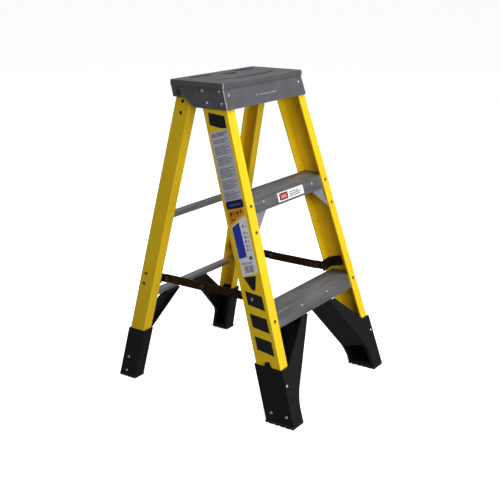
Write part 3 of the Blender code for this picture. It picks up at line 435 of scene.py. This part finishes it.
@dataclass
class Print:
    """Thin film on a face, built up from flat shapes in several inks."""

    name: str
    face: Face
    body: str
    slot: str
    lift: float = 0.04
    film: float = 0.16
    ink: float = 0.05

    def __post_init__(self) -> None:
        """Starts with an empty film."""
        self.shape = bmesh.new()
        self.inks: list[str] = []

    def patch(self, corners: Sequence[tuple[float, float]], ink: str, level: int = 0,
              radius: float = 0.0) -> "Print":
        """Adds a flat shape.

        Args:
            corners: Its corners, across and up the face.
            ink: Name of its film or ink.
            level: Nought for the film itself, or one and more for what is printed on it.
            radius: Radius of its corners.

        Returns:
            The print itself.
        """
        if ink not in self.inks:
            self.inks.append(ink)
        base = self.lift + (self.film + self.ink * (level - 1) + 0.01 if level else 0.0)
        part = bmesh.new()
        verts = [part.verts.new((x * MM, y * MM, base * MM)) for x, y in corners]
        flat = part.faces.new(verts)
        if flat.normal.z < 0:
            flat.normal_flip()
        if radius:
            bmesh.ops.bevel(part, geom=list(part.verts), offset=radius * MM, segments=4, profile=0.5,
                            affect="VERTICES", material=-1)
        raised = bmesh.ops.extrude_face_region(part, geom=list(part.faces), use_keep_orig=True)
        thickness = (self.ink if level else self.film) * MM
        bmesh.ops.translate(part, vec=(0, 0, thickness),
                            verts=[v for v in raised["geom"] if isinstance(v, bmesh.types.BMVert)])
        bmesh.ops.recalc_face_normals(part, faces=part.faces)
        for side in part.faces:
            side.material_index = self.inks.index(ink)
        part.transform(self.face.place)
        held = bpy.data.meshes.new("patch")
        part.to_mesh(held)
        part.free()
        self.shape.from_mesh(held)
        bpy.data.meshes.remove(held)
        return self

    def block(self, left: float, low: float, right: float, high: float, ink: str, level: int = 0,
              radius: float = 0.0) -> "Print":
        """Adds a rectangle, from its left, lower, right and upper edges."""
        return self.patch([(left, low), (right, low), (right, high), (left, high)], ink, level, radius)

    def rows(self, left: float, low: float, right: float, high: float, count: int, ink: str,
             fill: float = 0.5) -> "Print":
        """Adds rows of dashes that stand for small print.

        Args:
            left: Left edge.
            low: Lower edge.
            right: Right edge.
            high: Upper edge.
            count: Number of rows.
            ink: Name of the ink.
            fill: Share of a row's height that is inked.

        Returns:
            The print itself.
        """
        pitch = (high - low) / count
        for row in range(count):
            base = low + row * pitch
            split = left + (right - left) * (0.32 + 0.23 * math.sin(2.4 * row) ** 2)
            end = right - (right - left) * 0.28 * math.sin(1.7 * row + 1.0) ** 2
            self.block(left, base, split - 0.8, base + pitch * fill, ink, 1)
            self.block(split, base, end, base + pitch * fill, ink, 1)
        return self

    def finish(self) -> bpy.types.Object:
        """Makes the piece and returns it."""
        made = add_piece(self.name, self.shape, self.body,
                         [FILM[ink].material() for ink in self.inks])
        LOG.info("printed %s", self.name)
        return made


def heads(name: str, places: Iterable[Matrix], radius: float, height: float, node: str,
          material: bpy.types.Material) -> bpy.types.Object:
    """Makes a set of domed rivet heads.

    Args:
        name: Name of the piece.
        places: Frame of each head, its Z pointing out of the surface.
        radius: Radius of a head.
        height: Height of a head.
        node: CAD node that they are set in.
        material: Finish of the heads.

    Returns:
        The new piece.
    """
    shape = bmesh.new()
    for place in places:
        made = bmesh.ops.create_uvsphere(shape, u_segments=20, v_segments=12, radius=1.0)
        size = Matrix.Diagonal((radius * MM, radius * MM, height * MM, 1.0))
        bmesh.ops.transform(shape, matrix=place @ size, verts=made["verts"])
    made = add_piece(name, shape, body_of(node), [material])
    LOG.info("set %s", name)
    return made


@dataclass
class RailPair:
    """Front and rear rails of one side, with what is printed on and set in their webs."""

    side: Side
    edge: float = 0.35
    head_radius: float = 4.4
    head_height: float = 1.9
    plug_radius: float = 4.8
    plug_height: float = 0.7
    # Height, in millimetres, up to which the rear rail's foot is drawn in the boots' black plastic.
    black_foot: float = 148.0
    tail_depth: float = 6.9
    strap_spots: tuple[tuple[float, float], ...] = ((-11.0, 17.0), (-4.6, -13.4))
    plug_spots: tuple[tuple[float, float], ...] = ((-5.5, -25.0), (0.3, -56.0))
    front_spot: tuple[float, float] = (24.2, -8.4)

    def build(self) -> None:
        """Dresses both rails and adds the prints and the strap rivets."""
        word = self.side.value
        self.front = Face.of("front_rail_" + word, self.side.outward)
        self.rear = Face.of("rear_rail_" + word, self.side.outward)
        refine("front_rail_" + word, self.edge, FIBREGLASS.material(self.front.turn()))
        rail = refine("rear_rail_" + word, self.edge, FIBREGLASS.material(self.rear.turn()),
                      black_below=self.black_foot * MM)
        # The rail's foot, up to that height, is drawn in black boot plastic.
        rail.data.materials.append(BOOT_PLASTIC.material())
        self.strap_rivets(word)
        if self.side is Side.LEFT:
            self.print_web()

    def strap_rivets(self, word: str) -> None:
        """Sets the rivets that hold the spreader straps, and plugs the two spare holes of the rear web."""
        low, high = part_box("rear_strap_" + word)
        x = high.x if self.side is Side.RIGHT else low.x
        middle = (low.z + high.z) / 2
        spots = [Vector((x, high.y + back * MM, middle + rise * MM)) for back, rise in self.strap_spots]
        places = [self.rear.frame_at(*self.rear.find(spot)) for spot in spots]
        heads("rear_strap_rivets_" + word, places, self.head_radius, self.head_height,
              "rear_rail_" + word, DULL_METAL.material())
        tails = [self.rear.frame_at(*self.rear.find(spot), -self.tail_depth) for spot in spots]
        heads("rear_strap_tails_" + word, tails, self.head_radius, self.head_height,
              "rear_rail_" + word, RIVET_METAL.material())
        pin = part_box("hinge_pin_" + word)
        centre = (pin[0] + pin[1]) / 2
        spots = [centre + Vector((0, back * MM, rise * MM)) for back, rise in self.plug_spots]
        places = [self.rear.frame_at(*self.rear.find(spot)) for spot in spots]
        heads("rear_web_plugs_" + word, places, self.plug_radius, self.plug_height, "rear_rail_" + word,
              BOOT_PLASTIC.material())
        low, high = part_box("front_strap_" + word)
        spot = Vector((x, low.y + self.front_spot[0] * MM, high.z + self.front_spot[1] * MM))
        heads("front_strap_rivet_" + word, [self.front.frame_at(*self.front.find(spot))], self.head_radius,
              self.head_height, "front_rail_" + word, RIVET_METAL.material())

    def print_web(self) -> None:
        """Prints the labels down the outer web of the front rail."""
        def start(name: str) -> Print:
            """New print on the web."""
            return Print(name, self.front, "front_frame", "fibreglass")

        top = start("web_badge")
        top.patch([(12.0, 834.0), (9.0, 802.0), (40.0, 787.0), (60.0, 783.0), (60.5, 814.0)], "black")
        top.finish()
        notes = start("web_instructions").block(5.0, 597.0, 63.0, 782.0, "silver", radius=2.0)
        for low, high, rows in ((603, 625, 5), (631, 655, 5), (661, 687, 6), (693, 715, 5), (721, 745, 5),
                                (751, 762, 2)):
            notes.rows(10.0, low, 58.0, high, rows, "grey", 0.42)
        notes.rows(8.0, 768.0, 60.0, 778.0, 2, "grey", 0.55).finish()
        pill = start("web_size_badge").block(8.0, 577.0, 63.0, 599.0, "black", radius=6.0)
        pill.block(15.0, 584.0, 56.0, 591.0, "blue", 1, 2.0).rows(18.0, 585.5, 53.0, 589.5, 1, "pale", 0.6)
        pill.finish()
        marks = start("web_rating_marks")
        marks.patch([(8.0, 537.0), (36.0, 551.0), (59.0, 562.0), (59.0, 575.0), (8.0, 575.0)], "orange",
                    radius=1.5)
        for left, low, right, high in ((14, 559, 22, 569), (26, 561, 30, 571), (34, 561, 43, 570),
                                       (47, 565, 53, 572), (14, 548, 30, 551)):
            marks.block(left, low, right, high, "rust", 1, 1.2)
        marks.finish()
        self.print_product_label(start("web_product_label"))
        arrow = start("web_arrow")
        arrow.patch([(16.0, 397.0), (55.5, 397.0), (46.0, 362.0), (40.0, 358.5), (34.0, 362.0)], "black")
        arrow.finish()
        slats = start("web_slats")
        for low in (324.5, 264.3, 203.3):
            slats.patch([(12.2, low), (61.6, low - 22.5), (60.4, low + 16.5), (11.6, low + 36.8)], "black")
        slats.finish()

    def print_product_label(self, label: Print) -> None:
        """Prints the slant-topped label with its colour panel and its bar pattern."""
        label.patch([(14.0, 399.0), (64.5, 404.0), (62.0, 556.0), (38.0, 546.0), (11.0, 530.0)], "white")
        label.patch([(14.5, 446.0), (40.0, 449.0), (37.0, 541.5), (12.0, 529.0)], "blue", 1, 1.0)
        for low in (526.0, 508.0, 497.0, 486.0, 474.0, 463.0):
            label.block(45.0, low, 49.0, low + 6.0, "grey", 1, 1.0)
            label.block(52.0, low + 1.0, 58.0, low + 3.0, "grey", 1)
        label.rows(19.0, 430.0, 57.0, 436.0, 2, "grey", 0.5).block(46, 440, 57, 450, "grey", 1, 4.0)
        for bar in range(7):
            left = 24.0 + 4.6 * bar
            label.block(left, 407.0, left + (2.6 if bar % 3 else 1.6), 426.0, "black", 1)
        label.finish()


@dataclass
class TopCap:
    """Moulded cap with its rivets and the plate on its front."""

    edge: float = 0.9
    # Width of the bevelled front corners that carry the painted highlight.
    highlight_width: float = 1.8
    corner: float = 175.0
    turned: float = 0.25
    mark_height: float = 3.2
    well_depth: float = 5.2

    def build(self) -> None:
        """Refines the moulding and adds the raised marks on its front."""
        cap = refine("top_cap", self.edge, CAP_PLASTIC.material(), highlight_width=self.highlight_width)
        cap.data.materials.append(HIGHLIGHT_PLASTIC.material())
        cap.data.materials.append(PAINTED_SHADE_PLASTIC.material())
        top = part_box("top_cap")[1].z
        # Flat faces just below the cap's top, the recess floors, take the third finish, which is painted
        # shade.
        for face in cap.data.polygons:
            if face.normal.z > 0.9 and self.edge * MM < top - face.center.z < self.well_depth * MM:
                face.material_index = 2
            # The slanting faces of the outer front corners take the pale second finish, a painted highlight.
            elif (face.normal.y < -self.turned and abs(face.normal.x) > self.turned
                  and abs(face.center.x) > self.corner * MM):
                face.material_index = 1
        face = Face.of("top_cap", Vector((0, -1, 0)), Vector((0, 0, 1)))
        plate = Print("cap_front_marks", face, "front_frame", "cap_plastic", film=0.35)
        middle, low = face.width * 0.49, face.height * 0.42
        plate.patch([(middle - 48, low + 2), (middle - 44, low - 2), (middle - 40, low + 2),
                     (middle - 44, low + 6)], "ash")
        for left, right in ((-30, -14), (-11, 3), (6, 16), (19, 48)):
            plate.block(middle + left, low, middle + right, low + self.mark_height, "ash", radius=1.0)
        plate.finish()
        rivets = [f"cap_rivet_{number}_{side.value}" for number in range(1, 5) for side in Side]
        dress(rivets + ["cap_front_rivet_" + side.value for side in Side], RIVET_METAL.material())


@dataclass
class Steps:
    """Two extruded steps, the braces under the upper one and the bars across the rear."""

    edge: float = 0.3
    head_radius: float = 3.4
    head_height: float = 1.3
    head_inset: float = 160.0

    def build(self) -> None:
        """Refines the extrusions and the braces and adds the safety label and the strut rivets."""
        # The rear bars take the brighter copy of the step metal, which is painted light.
        for finish, nodes in ((STEP_METAL, ("step_upper", "step_lower")),
                              (LIT_BAR_METAL, ("rear_bar_upper", "rear_bar_lower"))):
            metal = finish.material()
            for node in nodes:
                refine(node, self.edge, metal)
        zinc = BRACE_METAL.material()
        for side in Side:
            refine("knee_brace_" + side.value, self.edge, zinc)
        kinds = ("brace_top_rivet_", "brace_foot_rivet_", "step_rivet_")
        dress([kind + side.value for kind in kinds for side in Side], DULL_METAL.material())
        dress(["brace_apron_rivet_" + side.value for side in Side], RIVET_METAL.material())
        self.safety_label()
        self.strut_rivets()

    def safety_label(self) -> None:
        """Prints the two-part label on the apron of the upper step."""
        face = Face.of("step_upper", Vector((0, -1, 0)), Vector((0, 0, 1)))
        middle = face.width / 2
        label = Print("step_safety_label", face, "front_frame", "step_aluminium")
        low, high = 6.0, min(face.height - 4.0, 31.0)
        label.block(middle - 58, low, middle + 73, high, "white", radius=1.5)
        label.block(middle - 50, low + 3, middle - 8, high - 3, "black", 1, 3.0)
        label.block(middle - 46, low + 5.5, middle - 12, high - 5.5, "red", 2, 2.0)
        for rise in (9.0, 13.0):
            label.block(middle - 42, low + rise, middle - 16, low + rise + 1.6, "pale", 3)
        label.rows(middle, low + 5, middle + 64, high - 4, 3, "grey", 0.5)
        label.finish()

    def strut_rivets(self) -> None:
        """Sets the rivets that hold the boots' struts to the lower step's apron."""
        face = Face.of("step_lower", Vector((0, -1, 0)), Vector((0, 0, 1)))
        level = face.height * 0.66
        places = [face.frame_at(across, level) for across in (self.head_inset, face.width - self.head_inset)]
        heads("strut_rivets", places, self.head_radius, self.head_height, "step_lower",
              RIVET_METAL.material())


@dataclass
class Boots:
    """Moulded boots and their rubber soles, with the rivets through them."""

    edge: float = 0.7
    sole_edge: float = 0.4
    flange_inset: float = 18.0
    flange_rise: float = 112.0
    front_spots: tuple[tuple[float, float], ...] = ((71.9, 21.0), (24.5, 20.4))
    rear_spots: tuple[tuple[float, float], ...] = ((31.7, 53.7), (23.7, 9.7))
    head_radius: float = 4.6
    head_height: float = 1.7

    def build(self) -> None:
        """Refines each boot and its sole and sets the rivets."""
        plastic, rubber = BOOT_PLASTIC.material(), SOLE_RUBBER.material()
        for side in Side:
            for end in ("front", "rear"):
                refine(f"{end}_boot_{side.value}", self.edge, plastic)
                refine(f"{end}_pad_{side.value}", self.sole_edge, rubber)
            self.web_rivets(side)

    def web_rivets(self, side: Side) -> None:
        """Sets the two rivets through each boot's outer wall and the one through the front boot's flange."""
        metal = RIVET_METAL.material()
        for end, spots in (("front", self.front_spots), ("rear", self.rear_spots)):
            node = f"{end}_boot_{side.value}"
            face = Face.of(node, side.outward)
            low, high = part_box(node)
            places = []
            for inward, rise in spots:
                y = low.y + inward * MM if end == "front" else high.y - inward * MM
                x = low.x if side is Side.LEFT else high.x
                places.append(face.frame_at(*face.find(Vector((x, y, low.z + rise * MM)))))
            if end == "front":
                flange = Face.of(node, Vector((0, -1, 0)))
                spot = Vector((x - side.outward.x * self.flange_inset * MM, low.y,
                               low.z + self.flange_rise * MM))
                places.append(flange.frame_at(*flange.find(spot)))
            heads(f"{end}_boot_rivets_{side.value}", places, self.head_radius, self.head_height, node,
                  metal)


@dataclass
class Spreaders:
    """Straps, bars and pivots of the folding spreaders."""

    edge: float = 0.4

    def build(self) -> None:
        """Refines the pressed pieces and dresses the pivots and hinges."""
        dark, dull, shade = SPREADER_METAL.material(), DULL_METAL.material(), PAINTED_SHADE_PLASTIC.material()
        for side in Side:
            word = side.value
            for node in ("front_strap_", "rear_strap_", "spreader_front_", "spreader_rear_"):
                refine(node + word, self.edge, dark)
            kinds = ("front_pivot_", "rear_pivot_", "middle_pivot_front_", "middle_pivot_rear_")
            dress([kind + word for kind in kinds], dull)
            # The hinge pins and washers take the darker cap finish, which is painted shade.
            dress(["hinge_pin_" + word, "hinge_washer_" + word], shade)


@dataclass
class Studio:
    """Pale floor, soft lights and the camera."""

    centre: tuple[float, float, float] = (0.0, 0.0, 0.43)
    camera_at: tuple[float, float, float] = (-2.0893, -1.4242, 1.1610)
    camera_turn: tuple[float, float, float] = (72.785, 0.0, -55.563)
    lens: float = 66.395
    shift: tuple[float, float] = (0.0002, -0.0029)
    floor_half: float = 30.0

    def build(self) -> None:
        """Makes the floor, the lights, the surroundings and the camera."""
        self.floor()
        self.light("overhead", (0.1, -0.5, 3.3), 2.0, 84.0)
        self.light("front", (0.6, -3.3, 1.6), 2.2, 28.0)
        self.light("low_front", (-0.3, -2.8, 0.35), 1.4, 20.0)
        self.light("front_left", (-1.7, -3.0, 1.3), 1.6, 45.0)
        self.surroundings()
        self.camera()
        bpy.context.scene.view_settings.view_transform = "Standard"

    def floor(self) -> None:
        """Lays a pale floor that glows a little, so that shadows on it stay soft."""
        shape = bmesh.new()
        bmesh.ops.create_grid(shape, x_segments=1, y_segments=1, size=self.floor_half)
        mesh = bpy.data.meshes.new("studio_floor")
        shape.to_mesh(mesh)
        shape.free()
        paint = bpy.data.materials.new("matt_white_floor")
        paint.use_nodes = True
        shader = paint.node_tree.nodes["Principled BSDF"]
        shader.inputs["Base Color"].default_value = linear("F4F4F4")
        shader.inputs["Roughness"].default_value = 0.9
        shader.inputs["Emission Color"].default_value = linear("FFFFFF")
        shader.inputs["Emission Strength"].default_value = 0.82
        mesh.materials.append(paint)
        made = bpy.data.objects.new("studio_floor", mesh)
        made.location.z = -0.0005
        bpy.context.scene.collection.objects.link(made)
        made.visible_diffuse = made.visible_glossy = False

    def light(self, name: str, place: Sequence[float], size: float, power: float) -> None:
        """Hangs a soft light that points at the ladder.

        Args:
            name: Name of the light.
            place: Where it hangs, in metres.
            size: Its side, in metres.
            power: Its power, in watts.
        """
        lamp = bpy.data.lights.new(name, "AREA")
        lamp.shape, lamp.size, lamp.energy = "SQUARE", size, power
        made = bpy.data.objects.new(name, lamp)
        made.location = place
        made.rotation_euler = (Vector(self.centre) - Vector(place)).to_track_quat("-Z", "Y").to_euler()
        bpy.context.scene.collection.objects.link(made)

    def surroundings(self) -> None:
        """Fills the surroundings with an even pale light, white where it is seen directly."""
        world = bpy.data.worlds.new("studio")
        bpy.context.scene.world = world
        world.use_nodes = True
        tree = world.node_tree
        seen = add_node(tree, "ShaderNodeLightPath").outputs["Is Camera Ray"]
        strength = add_node(tree, "ShaderNodeMapRange", {"To Min": 0.17, "To Max": 1.0}, {"Value": seen})
        back = tree.nodes["Background"]
        back.inputs["Color"].default_value = linear("FFFFFF")
        tree.links.new(strength.outputs["Result"], back.inputs["Strength"])

    def camera(self) -> None:
        """Sets the camera a little above the cap, in front of the ladder's left side."""
        eye = bpy.data.cameras.new("camera")
        eye.lens, eye.sensor_width = self.lens, 36.0
        eye.shift_x, eye.shift_y = self.shift
        made = bpy.data.objects.new("camera", eye)
        made.location = self.camera_at
        made.rotation_euler = [math.radians(angle) for angle in self.camera_turn]
        bpy.context.scene.collection.objects.link(made)
        bpy.context.scene.camera = made


def main() -> None:
    """Builds the ladder's looks from the cap down, then the studio."""
    logging.basicConfig(level=logging.INFO, format="%(name)s: %(message)s")
    TopCap().build()
    for side in Side:
        RailPair(side).build()
    Steps().build()
    Boots().build()
    Spreaders().build()
    Studio().build()


if __name__ == "__main__":
    main()
